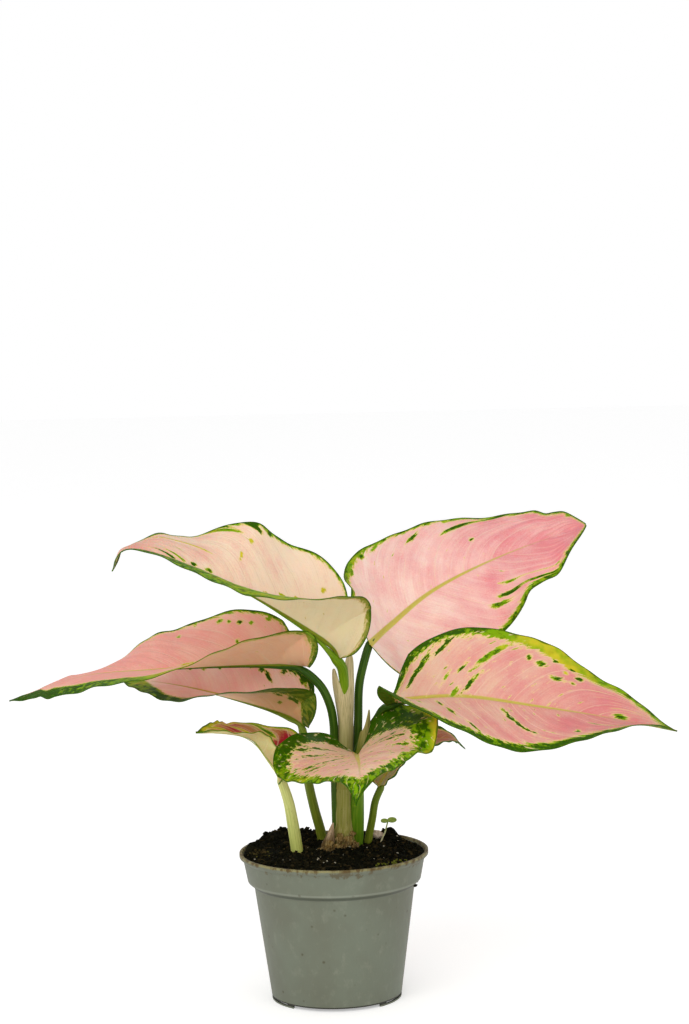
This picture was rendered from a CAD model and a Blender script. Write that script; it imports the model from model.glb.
import math
import random

import bpy
import numpy
from mathutils import Matrix, Vector, noise


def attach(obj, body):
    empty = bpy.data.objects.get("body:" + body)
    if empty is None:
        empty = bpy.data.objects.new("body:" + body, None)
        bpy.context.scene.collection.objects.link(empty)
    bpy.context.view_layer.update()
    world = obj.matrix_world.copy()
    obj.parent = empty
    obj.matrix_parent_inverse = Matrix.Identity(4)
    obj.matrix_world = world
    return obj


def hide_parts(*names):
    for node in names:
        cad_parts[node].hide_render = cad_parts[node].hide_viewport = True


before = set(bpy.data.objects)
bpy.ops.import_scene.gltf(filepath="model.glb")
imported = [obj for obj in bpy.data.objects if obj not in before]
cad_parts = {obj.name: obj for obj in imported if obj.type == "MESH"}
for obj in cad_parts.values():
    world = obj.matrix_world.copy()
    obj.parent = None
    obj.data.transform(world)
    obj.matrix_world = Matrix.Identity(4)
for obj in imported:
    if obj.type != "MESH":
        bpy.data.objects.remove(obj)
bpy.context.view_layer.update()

mm = 0.001


cameraSetup = {
    "place": (11.6, -1764.0, 481.3),  # mm
    "down": 5.56,  # degrees below the horizon
    "roll": -1.28,
    "lens": 99.2, "farthest": 50,
}
studio = {
    "skyStrength": 0.66, "backdrop": 1.0,  # the light from all round, and the white that the camera sees
    "lamps": [((-0.9, -2.2, 1.6), 2.2, 34), ((1.5, -2.0, 1.0), 1.8, 10)],  # place, size and power
    "lampAim": (0, 0, 0.2),
    "floorColour": (0.93, 0.93, 0.93), "floorRoughness": 0.9, "floorGlow": 0.36, "floorSize": 12.0,
}


def makeCamera():
    bpy.ops.object.camera_add(location=Vector(cameraSetup["place"]) * mm)
    camera = bpy.context.object
    tilt = Matrix.Rotation(math.radians(90 - cameraSetup["down"]), 4, "X")
    roll = Matrix.Rotation(math.radians(cameraSetup["roll"]), 4, "Z")
    camera.rotation_euler = (tilt @ roll).to_euler()
    camera.data.lens = cameraSetup["lens"]
    camera.data.clip_end = cameraSetup["farthest"]
    bpy.context.scene.camera = camera


def makeStudio():
    world = bpy.data.worlds.new("studio")
    bpy.context.scene.world = world
    world.use_nodes = True
    tree = world.node_tree
    seen = tree.nodes.new("ShaderNodeLightPath").outputs["Is Camera Ray"]
    strength = tree.nodes.new("ShaderNodeMapRange")
    strength.inputs["To Min"].default_value = studio["skyStrength"]
    strength.inputs["To Max"].default_value = studio["backdrop"]
    tree.links.new(seen, strength.inputs["Value"])
    tree.nodes["Background"].inputs["Color"].default_value = (1, 1, 1, 1)
    tree.links.new(strength.outputs["Result"], tree.nodes["Background"].inputs["Strength"])
    bpy.context.scene.view_settings.view_transform = "Standard"
    for place, size, power in studio["lamps"]:
        bpy.ops.object.light_add(type="AREA", location=place)
        lamp = bpy.context.object
        lamp.data.size = size
        lamp.data.energy = power
        lamp.rotation_euler = (Vector(place) - Vector(studio["lampAim"])).to_track_quat("Z", "Y").to_euler()
    bpy.ops.mesh.primitive_plane_add(size=studio["floorSize"])
    floor = bpy.context.object
    floor.name = "floor"
    paint = bpy.data.materials.new("floorPaint")
    paint.use_nodes = True
    shader = paint.node_tree.nodes["Principled BSDF"]
    shader.inputs["Base Color"].default_value = (*studio["floorColour"], 1)
    shader.inputs["Roughness"].default_value = studio["floorRoughness"]
    shader.inputs["Emission Color"].default_value = (1, 1, 1, 1)
    shader.inputs["Emission Strength"].default_value = studio["floorGlow"]
    floor.data.materials.append(paint)


makeCamera()
makeStudio()
print("camera and studio")


def clearSelection():
    bpy.ops.object.select_all(action="DESELECT")


def newest(name):  # the piece that was just added
    piece = bpy.context.object
    piece.name = piece.data.name = name
    return piece


def pick(piece, kind, test):  # goes into edit mode with only those points or edges selected
    bpy.ops.object.mode_set(mode="EDIT")
    bpy.ops.mesh.select_mode(type=kind)
    bpy.ops.mesh.select_all(action="DESELECT")
    bpy.ops.object.mode_set(mode="OBJECT")
    for part in piece.data.vertices if kind == "VERT" else piece.data.edges:
        part.select = test(part)
    bpy.ops.object.mode_set(mode="EDIT")


def lineThrough(points, steps=200):  # even steps along a smooth line: place and direction
    points = [Vector(p) for p in points]
    ends = [2 * points[0] - points[1]] + points + [2 * points[-1] - points[-2]]
    fine, cuts = [], 24
    for i in range(len(points) - 1):
        a, b, c, d = ends[i:i + 4]
        for k in range(cuts + (i == len(points) - 2)):
            t = k / cuts
            fine.append(0.5 * ((2 * b) + (c - a) * t + (2 * a - 5 * b + 4 * c - d) * t ** 2
                               + (3 * b - a - 3 * c + d) * t ** 3))
    reach = [0.0]
    for a, b in zip(fine, fine[1:]):
        reach.append(reach[-1] + (b - a).length)
    places, k = [], 0
    for i in range(steps + 1):
        want = reach[-1] * i / steps
        while k < len(fine) - 2 and reach[k + 1] < want:
            k += 1
        share = (want - reach[k]) / (reach[k + 1] - reach[k])
        places.append(fine[k].lerp(fine[k + 1], share))
    directions = [(places[min(i + 1, steps)] - places[max(i - 1, 0)]).normalized() for i in range(steps + 1)]
    return {"places": places, "directions": directions, "length": reach[-1]}


def onLine(line, share):
    steps = len(line["places"]) - 1
    place = max(0.0, min(1.0, share)) * steps
    k = min(int(place), steps - 1)
    part = place - k
    return (line["places"][k].lerp(line["places"][k + 1], part),
            line["directions"][k].lerp(line["directions"][k + 1], part).normalized())


def between(values, share):  # straight steps through evenly spaced values
    place = max(0.0, min(1.0, share)) * (len(values) - 1)
    k = min(int(place), len(values) - 2)
    return values[k] + (values[k + 1] - values[k]) * (place - k)


def bump(x):
    return math.exp(-x * x)


def giveValues(piece, name, values):  # a vector at each point, read by the material
    layer = piece.data.attributes.new(name, "FLOAT_VECTOR", "POINT")
    layer.data.foreach_set("vector", [number for value in values for number in value])


def sheetGrid(name, across, along):  # a flat grid from -1 to 1 both ways, to be placed point by point
    clearSelection()
    bpy.ops.mesh.primitive_grid_add(x_subdivisions=across, y_subdivisions=along, size=2)
    return newest(name)


def applied(piece, kind, **settings):  # a modifier, added and applied
    bpy.ops.object.modifier_add(type=kind)
    modifier = piece.modifiers[-1]
    for name, value in settings.items():
        setattr(modifier, name, value)
    bpy.ops.object.modifier_apply(modifier=modifier.name)


def thicken(piece, thickness, offset=0.0, underside=0):
    applied(piece, "SOLIDIFY", thickness=thickness * mm, offset=offset, material_offset=underside)


def joined(pieces, active):
    clearSelection()
    for piece in pieces:
        piece.select_set(True)
    bpy.context.view_layer.objects.active = active
    bpy.ops.object.join()


def placing(spot, size, turn=0.0, tip=0.0):  # mm and radians
    turned = Matrix.Rotation(turn, 4, "Z") @ Matrix.Rotation(tip, 4, "X")
    return Matrix.Translation(Vector(spot) * mm) @ turned @ Matrix.Diagonal((*(side * mm for side in size), 1))


def addLump(detail, form):  # a ball, 1 across, with each point moved out or in
    clearSelection()
    bpy.ops.mesh.primitive_ico_sphere_add(subdivisions=detail, radius=0.5)
    lump = bpy.context.object
    for vertex in lump.data.vertices:
        vertex.co *= form(vertex.co)
    return lump


def dress(piece, slot, *nodes, skin=None, angle=50):  # the last step of each piece
    if skin:
        piece.data.materials.append(skin)
    bpy.ops.object.shade_smooth_by_angle(angle=math.radians(angle))
    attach(piece, "root")
    if nodes:
        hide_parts(*nodes)


def tubeAlong(name, line, radiusAt, sides=18, rings=60, section=None):  # a capped tube, its rings set along a line
    clearSelection()
    bpy.ops.mesh.primitive_cylinder_add(vertices=sides, radius=1, depth=2, end_fill_type="TRIFAN")
    piece = newest(name)
    height = [vertex.co.z for vertex in piece.data.vertices]
    pick(piece, "EDGE", lambda edge: abs(height[edge.vertices[0]] - height[edge.vertices[1]]) > 1)
    bpy.ops.mesh.subdivide(number_cuts=rings - 1)
    bpy.ops.object.mode_set(mode="OBJECT")

    turned = []  # how the ring stands at each step, without twist
    side = None
    for direction in line["directions"]:
        if side is None:
            side = direction.orthogonal().normalized()
        side = (side - direction * side.dot(direction)).normalized()
        turned.append((side, direction.cross(side)))
    steps = len(turned) - 1
    values = []
    for vertex in piece.data.vertices:
        share = min(1, max(0, (vertex.co.z + 1) / 2))
        flat = math.hypot(vertex.co.x, vertex.co.y)
        angle = math.atan2(vertex.co.y, vertex.co.x)
        place, direction = onLine(line, share)
        first, second = turned[round(share * steps)]
        radius = radiusAt(share)
        reach = radius * flat * (section(angle, share) if section else 1)
        vertex.co = (place + first * reach * math.cos(angle) + second * reach * math.sin(angle)) * mm
        values.append((radius * math.cos(angle) * flat, radius * math.sin(angle) * flat, share * line["length"]))
    giveValues(piece, "run", values)
    return piece


def turnedPiece(name, profile, sides):  # rings of a profile, extruded one from the next
    clearSelection()
    radius, height = profile[0]
    bpy.ops.mesh.primitive_circle_add(
        vertices=sides, radius=radius * mm, fill_type="TRIFAN", location=(0, 0, height * mm))
    piece = newest(name)
    bpy.ops.object.transform_apply(location=True)
    pick(piece, "VERT", lambda vertex: vertex.co.xy.length > profile[0][0] * mm / 2)
    for nextRadius, nextHeight in profile[1:]:
        bpy.ops.mesh.extrude_edges_move()
        grow = nextRadius / radius
        bpy.ops.transform.resize(value=(grow, grow, 1), center_override=(0, 0, height * mm))
        bpy.ops.transform.translate(value=(0, 0, (nextHeight - height) * mm))
        radius, height = nextRadius, nextHeight
    bpy.ops.mesh.extrude_edges_move()
    bpy.ops.mesh.merge(type="CENTER")
    bpy.ops.mesh.select_all(action="SELECT")
    bpy.ops.mesh.normals_make_consistent(inside=False)
    bpy.ops.object.mode_set(mode="OBJECT")
    return piece


def colour(red, green, blue):  # from 0 to 255 as seen, to the light that it stands for
    def linear(part):
        part = part / 255
        return part / 12.92 if part <= 0.04045 else ((part + 0.055) / 1.055) ** 2.4
    return (linear(red), linear(green), linear(blue), 1)


def addNode(tree, kind, inputs=None, **settings):  # its colours are given as seen, from 0 to 255
    made = tree.nodes.new(kind)
    for name, value in settings.items():
        setattr(made, name, value)
    for name, value in (inputs or {}).items():
        socket = made.inputs[name]
        if isinstance(value, bpy.types.NodeSocket):
            tree.links.new(value, socket)
        else:
            socket.default_value = colour(*value) if socket.type == "RGBA" else value
    return made


def treeOf(*values):
    return next(value.id_data for value in values if isinstance(value, bpy.types.NodeSocket))


def calculate(operation, *values, clamp=False):
    inputs = dict(enumerate(values))
    return addNode(treeOf(*values), "ShaderNodeMath", inputs, operation=operation, use_clamp=clamp).outputs[0]


def plus(first, second):
    return calculate("ADD", first, second)


def times(first, second):
    return calculate("MULTIPLY", first, second)


def scaled(value, factor, shift, clamp=False):
    return calculate("MULTIPLY_ADD", value, factor, shift, clamp=clamp)


def easeBetween(value, low, high):  # 0 below low, 1 above high
    inputs = {"Value": value, "From Min": low, "From Max": high}
    return addNode(value.id_data, "ShaderNodeMapRange", inputs, interpolation_type="SMOOTHSTEP").outputs["Result"]


def fadeBetween(value, low, high):  # 1 below low, 0 above high
    return calculate("SUBTRACT", 1.0, easeBetween(value, low, high))


def blend(share, first, second):
    return addNode(share.id_data, "ShaderNodeMix", {0: share, 6: first, 7: second}, data_type="RGBA").outputs[2]


def coat(skin, tint, mask, strength=None):  # another colour over the skin where the mask is 1
    return blend(mask if strength is None else times(mask, strength), skin, tint)


def noiseOf(vector, scale, detail=2.0, roughness=0.5):
    tree = vector.id_data
    stretched = addNode(tree, "ShaderNodeVectorMath", {0: vector, 1: scale}, operation="MULTIPLY").outputs[0]
    inputs = {"Vector": stretched, "Scale": 1.0, "Detail": detail, "Roughness": roughness}
    return addNode(tree, "ShaderNodeTexNoise", inputs).outputs["Fac"]


def wavering(vector, scale, detail=2.0, roughness=0.5):  # noise round 0
    return calculate("SUBTRACT", noiseOf(vector, scale, detail, roughness), 0.5)


def splitVector(vector):
    return addNode(vector.id_data, "ShaderNodeSeparateXYZ", {0: vector}).outputs


def attributeOf(tree, name):
    return addNode(tree, "ShaderNodeAttribute", attribute_name=name).outputs["Vector"]


def newGroup(name, tints, numbers):  # a pattern that gives out a colour and a height
    group = bpy.data.node_groups.new(name, "ShaderNodeTree")
    for way, kind, labels in (("INPUT", "Color", tints), ("INPUT", "Float", numbers),
                              ("OUTPUT", "Color", ["Color"]), ("OUTPUT", "Float", ["Height"])):
        for label in labels:
            group.interface.new_socket(name=label, in_out=way, socket_type=f"NodeSocket{kind}")
    return group, group.nodes.new("NodeGroupInput").outputs, group.nodes.new("NodeGroupOutput").inputs


def makeLeafPattern():
    # Values on each blade: "flat" is mm across the rib, mm along it and mm to the margin; "vein" is where the
    # side vein through the point starts, mm out from the rib and the half; "paint" is mm inside the green, its tone
    # from dark at -1 to yellow at 1, and the share of pink.
    group, given, result = newGroup(
        "leafPattern",
        ["Pink", "Pale", "Vein Colour", "Halo", "Light Green", "Dark Green", "Yellow", "Midrib Colour"],
        ["Jagged", "Green", "Flecks", "Rib Width", "Rib Length", "Vein Gap", "Veins", "Dashes"])
    flat = attributeOf(group, "flat")
    vein = attributeOf(group, "vein")
    paint = splitVector(attributeOf(group, "paint"))
    flatParts = splitVector(flat)
    veinParts = splitVector(vein)

    # how far inside the green, its edge torn along the veins
    torn = times(wavering(vein, (0.42, 0.25, 1), 4, 0.62), given["Jagged"])
    crumbled = wavering(flat, (0.7, 0.7, 0), 3, 0.6)
    least = scaled(given["Dashes"], -0.21, 0.8)
    dashes = calculate("SUBTRACT", noiseOf(vein, (0.36, 0.17, 1), 2), least)
    depth = plus(plus(paint[0], torn), times(crumbled, 2.6))
    depth = calculate("MAXIMUM", depth, times(dashes, 26.0))

    # pink, in broad and in fine streaks along the veins
    broad = wavering(vein, (0.11, 0.035, 1), 2)
    fine = wavering(vein, (0.9, 0.045, 1), 2)
    cloudy = wavering(flat, (0.05, 0.05, 0), 2)
    grain = wavering(flat, (0.9, 0.9, 0), 3, 0.7)
    share = scaled(broad, 0.8, paint[2])
    share = scaled(fine, 0.55, share)
    share = scaled(grain, 0.8, share)
    share = scaled(cloudy, 1.1, share, clamp=True)
    skin = blend(share, given["Pale"], given["Pink"])

    # side veins
    start = scaled(wavering(vein, (0.03, 0.03, 1), 1), 9.0, veinParts[0])
    half = times(given["Vein Gap"], 0.5)
    line = fadeBetween(calculate("PINGPONG", start, half), 0.05, 0.75)
    line = times(line, easeBetween(noiseOf(vein, (0.07, 0.03, 1), 1), 0.38, 0.6))
    skin = coat(skin, given["Vein Colour"], line, given["Veins"])

    # midrib, narrower and fainter towards the tip
    along = calculate("DIVIDE", flatParts[1], given["Rib Length"])
    ribHalf = times(given["Rib Width"], calculate("SUBTRACT", 1.0, along, clamp=True))
    fromRib = calculate("SUBTRACT", calculate("ABSOLUTE", flatParts[0]), ribHalf)
    rib = fadeBetween(fromRib, -0.5, 0.35)
    skin = coat(skin, given["Midrib Colour"], rib, fadeBetween(along, 0.5, 1.0))

    # green, with a pale halo, lighter at its edge
    outer = scaled(given["Jagged"], -0.13, -1.2)
    halo = times(easeBetween(depth, outer, -0.5), given["Green"])
    skin = coat(skin, given["Halo"], halo, 0.65)
    near = times(easeBetween(depth, -1.0, -0.1), given["Green"])
    skin = coat(skin, given["Yellow"], near, 0.7)
    deep = scaled(noiseOf(flat, (0.32, 0.2, 0), 3, 0.6), 7.0, -4.8)
    deep = scaled(paint[1], -2.4, deep)
    deep = scaled(calculate("MINIMUM", depth, 1.5), 1.5, deep)
    deep = easeBetween(deep, -0.4, 0.9)
    green = blend(deep, given["Light Green"], given["Dark Green"])
    yellowed = plus(paint[1], scaled(noiseOf(flat, (0.12, 0.12, 0), 2), 1.2, -0.6))
    green = coat(green, given["Yellow"], easeBetween(yellowed, 0.35, 0.95))
    fleck = scaled(given["Flecks"], 0.1, noiseOf(vein, (0.36, 0.22, 1), 3))
    green = coat(green, given["Halo"], easeBetween(fleck, 0.72, 0.8), 0.8)
    skin = coat(skin, green, easeBetween(depth, -0.2, 0.3), given["Green"])

    # the thin dark line of the margin itself
    edge = scaled(noiseOf(flat, (0.09, 0.09, 0), 1), -3.0, flatParts[2])
    margin = fadeBetween(edge, -1.1, -0.2)
    margin = calculate("MAXIMUM", margin, fadeBetween(flatParts[2], 0.3, 0.9))
    skin = coat(skin, given["Dark Green"], margin, 0.85)
    group.links.new(skin, result["Color"])

    height = scaled(noiseOf(flat, (0.2, 0.2, 0), 2), 1.6, times(line, -0.35))
    height = scaled(rib, -0.5, height)
    height = scaled(fine, 0.5, height)
    pleat = calculate("SINE", times(start, calculate("DIVIDE", math.pi, half)))
    height = scaled(pleat, 0.3, height)
    group.links.new(height, result["Height"])
    return group


stalkTints = ["Low Colour", "High Colour", "Streak Colour", "Speck Colour"]
stalkNumbers = ["Streaks", "Specks", "Change Low", "Change High"]


def makeStalkPattern():
    # "run" on each stalk is mm across, mm across the other way and mm along it
    group, given, result = newGroup("stalkPattern", stalkTints, stalkNumbers)
    run = attributeOf(group, "run")
    parts = splitVector(run)
    rise = plus(parts[2], scaled(noiseOf(run, (0.35, 0.35, 0.06), 2), 16.0, -8.0))
    change = easeBetween(rise, given["Change Low"], given["Change High"])
    skin = blend(change, given["Low Colour"], given["High Colour"])
    streak = noiseOf(run, (1.5, 1.5, 0.035), 3, 0.6)
    skin = coat(skin, given["Streak Colour"], easeBetween(streak, 0.42, 0.7), given["Streaks"])
    speck = easeBetween(noiseOf(run, (0.8, 0.8, 0.45), 3, 0.7), 0.6, 0.72)
    skin = coat(skin, given["Speck Colour"], speck, given["Specks"])
    group.links.new(skin, result["Color"])
    group.links.new(plus(streak, times(speck, -0.3)), result["Height"])
    return group


leafPattern = makeLeafPattern()
stalkPattern = makeStalkPattern()


def newMaterial(name, roughness, **values):
    material = bpy.data.materials.new(name)
    material.use_nodes = True
    shader = material.node_tree.nodes["Principled BSDF"]
    shader.inputs["Roughness"].default_value = roughness
    for label, value in values.items():
        shader.inputs[label.replace("_", " ")].default_value = value
    return material, shader


def placeOf(shader):
    return addNode(shader.id_data, "ShaderNodeTexCoord").outputs["Object"]


def connect(shader, skin, height, distance, strength=0.5):
    links = shader.id_data.links
    links.new(skin, shader.inputs["Base Color"])
    inputs = {"Height": height, "Distance": distance, "Strength": strength}
    links.new(addNode(shader.id_data, "ShaderNodeBump", inputs).outputs["Normal"], shader.inputs["Normal"])


def patternMaterial(name, group, roughness, distance, values, **shaderValues):
    material, shader = newMaterial(name, roughness, **shaderValues)
    pattern = addNode(shader.id_data, "ShaderNodeGroup", values, node_tree=group).outputs
    connect(shader, pattern["Color"], pattern["Height"], distance)
    return material


def stalkMaterial(name, tints, amounts, change, roughness, distance, **shaderValues):
    values = dict(zip(stalkTints + stalkNumbers, (*tints, *amounts, *change)))
    return patternMaterial(name, stalkPattern, roughness, distance, values, **shaderValues)


# Millimetres and degrees; a pair is for the left and the right half.
# rib and stalk: points from the base on; fullness: how soon the blade widens and how soon it narrows; lobe and lift:
# how far its base reaches back and up, in the form of lobeForm; fold, curl and roll: at base, middle and tip;
# ripple: height, count and start; widths and bends: place along, spread and what each half gains; twists: place,
# spread and degrees of roll.
# rim: width of the green at even steps; tone: its colour, from dark at -1 to yellow at 1; edgeTone: more tone by the
# margin; blush: share of pink at even steps; jagged, dashes and flecks: how torn and broken the green is;
# spots: place along, place across, length along the vein, width and tone.
leaves = {
    "upper_right": {
        "rib": [(26, 12, 224), (39, 42, 231), (69, 64, 251), (113, 79, 270), (170, 78, 290)],
        "halfWidth": 52.7, "fullness": (0.48, 0.68), "lobe": (8, 7), "lift": (0, 0),
        "widths": [(0.94, 0.03, 3.2, 0), (0.875, 0.02, -3, 0), (0.85, 0.04, 0, 4), (0.05, 0.04, 2, 0)],
        "fold": ((18, 8, 9), (10, 10, 10)), "curl": ((3, -21, -13), (-21, -34, 1)), "roll": (62, 42, 36),
        "ripple": ((1.6, 3.3, 140), (5.8, 3.1, 29)),
        "stalk": [(14.5, 13, 112), (16, 13, 150), (17.3, 13, 175), (18.3, 12.4, 196), (21.5, 12, 211),
                  (25.6, 11.8, 223)],
        "stalkRadii": (4, 3, 2.7, 2.7), "stalkColour": "darkGreen",
        "rim": ((2, 4.6, 2, 1.8, 2.6, 2), (0.8, 1, 1.6, 3.2, 3.8, 2)),
        "tone": ((0.3, 0.5, 0.3, 0.1, 0.1, 0), (-0.3, -0.3, 0.1, 0.3, 0.4, 0)),
        "blush": (0.05, 0.25, 0.65, 1.1), "skin": "rose", "jagged": 9,
        "spots": [
            (0.22, -0.9, 5, 5, 0.2), (0.25, -0.95, 5, 6, 0.4), (0.30, -0.92, 4, 4, 0.4), (0.36, -0.93, 6, 3, 0.4),
            (0.47, -0.82, 5.5, 4), (0.54, -0.96, 3.4, 3.4, 0.4), (0.59, -0.97, 3.6, 4, 0.5),
            (0.625, -0.47, 2.8, 2.8), (0.68, -0.98, 3, 4), (0.75, -0.96, 4.4, 6, -0.2), (0.87, -0.97, 3, 5, 0.2),
            (0.95, -0.8, 3, 3, 0.2), (0.63, 0.66, 5, 5.4), (0.65, 0.52, 4.4, 2.6, 0.2), (0.60, 0.72, 3, 2.4, 0.3),
            (0.62, 0.97, 3, 5, 0.2), (0.53, 0.96, 4, 5, 0.2), (0.91, 0.93, 4, 5), (0.83, 0.97, 5, 5, 0.3),
            (0.45, 0.97, 3, 4, 0.4),
            (0.7, 0.97, 3, 4, 0.4), (0.76, 0.98, 3, 3), (0.97, 0.9, 3, 3, 0.2), (0.38, 0.98, 3, 4, 0.5)],
    },
    "upper_left": {
        "rib": [(6, -7, 218), (-3, -12, 229), (-44, -35, 261), (-90, -54, 287), (-121, -64, 296), (-130, -66, 283)],
        "halfWidth": 53.5, "fullness": (0.61, 1.04), "lobe": (9, 8), "lift": (2, -1), "bends": [(0.63, 0.06, 2, 0)],
        "widths": [(0.22, 0.09, -1, 4), (0.04, 0.05, -1, 0)],
        "fold": ((71, 26, 19), (60, 35, 3)), "curl": ((25, -20, 1), (20, -13, -47)), "roll": (-1, -19, -1),
        "ripple": ((0.6, 3.3, -109), (5.3, 3.1, 283)),
        "stalk": [(9, 3.5, 186), (9.2, 2.5, 196), (8.6, 0, 206), (7.2, -4, 213), (6, -6.8, 217.2)],
        "stalkRadii": (1.6, 2.9, 3.2, 3.3), "stalkColour": "brightGreen",
        "rim": ((2, 3, 14, 24, 16, 0.6), (0.8, 2, 2.4, 1.6, 2.4, 0.8)),
        "tone": ((0.4, 0.4, 0.5, 0.4, 0.2, 0), (0.2, 0.2, 0, 0, -0.6, -1)),
        "blush": (-0.2, 0.0, 0.25, 0.95), "skin": "cream", "jagged": 7,
        "spots": [
            (0.40, 0.96, 4, 5), (0.47, 0.95, 5, 6, -0.4), (0.575, 0.95, 5, 6, 0.4), (0.33, 0.97, 3, 3, 0.5),
            (0.75, 0.08, 7, 4, -0.4), (0.715, 0.12, 7, 3, 0.4), (0.645, 0.55, 6, 2, 0.9),
            (0.465, 0.72, 3, 1.8, 0.9), (0.49, 0.47, 4, 1.2, 1), (0.66, -0.4, 8, 4), (0.60, -0.75, 14, 6, 0.1),
            (0.71, -0.5, 9, 4), (0.17, 0.66, 3, 2, 0.8), (0.6, 0.06, 3, 5, 0.3), (0.66, 0.06, 3, 4),
            (0.2, 0.36, 2.4, 6, 0.6), (0.24, 0.3, 2, 5, 0.8), (0.3, 0.22, 2, 6, 0.8), (0.36, 0.12, 2.4, 7, 0.8)],
    },
    "left_high": {
        "rib": [(-13, 5, 212), (-63, -2, 214), (-110, -12, 214), (-155, -13, 211), (-201, -15, 197)],
        "halfWidth": 47, "fullness": (0.56, 0.98), "lobe": (18, 4), "lift": (0, 0),
        "fold": ((66, 16, -7), (64, 15, -10)), "curl": ((8, -5, -8), (-2, -11, -16)), "roll": (-6, -8, -4),
        "ripple": ((0.7, 3.3, 11), (2.6, 3.1, 226)),
        "stalk": [(1.6, 10.4, 100), (1.6, 9, 130), (1.7, 7.4, 156), (1.6, 5.4, 175), (-0.8, 4.2, 188), (-6.8, 4.2, 200),
                  (-12.4, 4.9, 210.8)],
        "stalkRadii": (2.4, 2.6, 2.7, 2.7), "stalkColour": "darkGreen",
        "bends": [(0.73, 0.05, 0, -4.5)], "twists": [(0.965, 0.02, -8)],
        "widths": [(0.895, 0.01, -2.4, -3), (0.87, 0.016, 3, 2), (0.94, 0.02, 0, 2.4), (0.78, 0.05, 2.2, 0)],
        "rim": ((4, 2, 5, 13, 13, 11), (3, 2, 2, 1.6, 1.6, 9)),
        "tone": ((0, 0.5, 1, 0.3, 0.1, -0.9), (0.3, 0.2, -0.3, 0, 0, -0.9)),
        "blush": (0.35, 0.8, 1.0, 0.8), "skin": "coral", "jagged": 7,
        "spots": [
            (0.40, 0.75, 3, 2.6, 0.2), (0.275, 0.85, 3.4, 2.4, 0.3), (0.252, 0.8, 2.4, 1.8, 0.1),
            (0.22, 0.77, 3, 2.8, -0.4),
            (0.188, 0.77, 2.4, 2, 0.2), (0.23, 0.43, 2.6, 2), (0.34, 0.93, 3, 1.8, 0.5), (0.14, 0.9, 4, 2.4, 0.3),
            (0.38, 0.05, 4, 14, 1), (0.34, 0.08, 4, 11, 1)],
    },
    "left_low": {
        "rib": [(-14, 19, 170), (-34, 19, 180), (-62, 22, 189), (-98, 36, 196), (-143, 63, 199)],
        "halfWidth": 39, "fullness": (0.57, 0.99), "lobe": (8, 4), "lift": (0, 2),
        "fold": ((73, 23, 29), (67, 28, 28)), "curl": ((23, -17, -1), (8, -11, -2)), "roll": (-3, -14, -12),
        "ripple": ((1.2, 3.3, 340), (5.2, 3.1, 39)),
        "stalk": [(-6, 34, 76), (-7.5, 33, 95), (-12, 28.5, 115), (-15.4, 25, 133), (-17, 22, 150),
                  (-14.6, 19.2, 169)],
        "stalkRadii": (3.4, 3, 2.6), "stalkColour": "oliveGreen",
        "rim": ((15, 8, 4, 8, 17, 12), (5, 3, 2, 2, 3, 3)),
        "tone": ((0.25, 0.1, -0.2, 0, 0.5, 0.4), (-0.7, -0.3, 0, 0, 0, 0)),
        "blush": (0.3, 0.5, 0.6, 0.4), "skin": "rosy", "jagged": 11, "dashes": 0.15,
        "spots": [
            (0.63, 0.52, 4, 2.4), (0.566, 0.56, 2.4, 2.4), (0.493, 0.6, 3, 2.6), (0.44, 0.62, 2, 2.4),
            (0.393, 0.64, 2.4, 3),
            (0.34, 0.66, 2.4, 2.4), (0.289, 0.68, 3, 3), (0.25, 0.62, 7, 3.6, -0.6), (0.2, 0.86, 4, 3),
            (0.13, 0.88, 7, 6, -0.3), (0.13, -0.6, 6, 5, -0.4), (0.2, -0.72, 7, 3, -0.3), (0.17, -0.4, 4, 3, 0.3)],
    },
    "right": {
        "rib": [(37, -14, 191), (81, -26, 195), (127, -32, 189), (173, -35, 181), (214, -43, 173)],
        "halfWidth": 48, "fullness": (0.63, 1.02), "lobe": (6, 13), "lift": (1, 11), "widths": [(0.05, 0.04, 0, -3)],
        "fold": ((30, 22, 17), (37, 13, 30)), "curl": ((10, -8, -21), (42, -11, 31)), "roll": (26, 35, 10),
        "ripple": ((1.8, 3.3, 163), (1, 3.1, 77)),
        "stalk": [(14, 12, 146), (19.5, 10.5, 161), (24, 9, 168.5), (29.5, 5.5, 177), (34, -1, 184.5),
                  (36.8, -12, 190.4)],
        "stalkRadii": (3.4, 2.8, 2.6), "stalkColour": "darkGreen",
        "rim": ((7, 4, 6, 10, 4, 3), (11, 6, 6, 6, 5, 5)),
        "tone": ((-0.1, -0.1, 0.6, 0.8, 0.3, 0.3), (-0.6, 0, 0.1, 0, 0, 0.3)),
        "blush": (0.2, 0.45, 0.8, 0.75), "skin": "dusty", "jagged": 11, "dashes": 0.4, "flecks": 0.9,
        "spots": [
            (0.51, -0.65, 4, 5.4), (0.465, -0.69, 3, 3), (0.56, -0.77, 2.4, 3.4), (0.575, -0.5, 2.8, 8),
            (0.65, -0.66, 3, 4.4), (0.625, -0.77, 2.4, 5), (0.6, -0.66, 1.8, 2.6, 1), (0.63, -0.52, 2, 3),
            (0.335, -0.62, 20, 4, 0.3), (0.365, -0.74, 8, 4, 0.5),
            (0.28, -0.19, 12, 3, -0.3), (0.23, -0.06, 6, 3, 0.3), (0.25, -0.42, 5, 2), (0.43, 0.33, 10, 3.4, -0.4),
            (0.465, 0.47, 10, 2.6, -0.4), (0.52, 0.62, 3, 2), (0.66, 0.66, 3, 2.4), (0.80, -0.1, 4, 7, 0.2),
            (0.2, 0.34, 7, 2.4), (0.25, 0.55, 7, 2.6), (0.15, 0.5, 5, 2, 0.3), (0.09, -0.5, 12, 5, -0.4),
            (0.13, -0.66, 15, 5), (0.2, -0.8, 12, 4, -0.4), (0.2, -0.3, 5, 2, 0.3), (0.33, 0.78, 7, 2.4)],
    },
    "front": {
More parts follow.
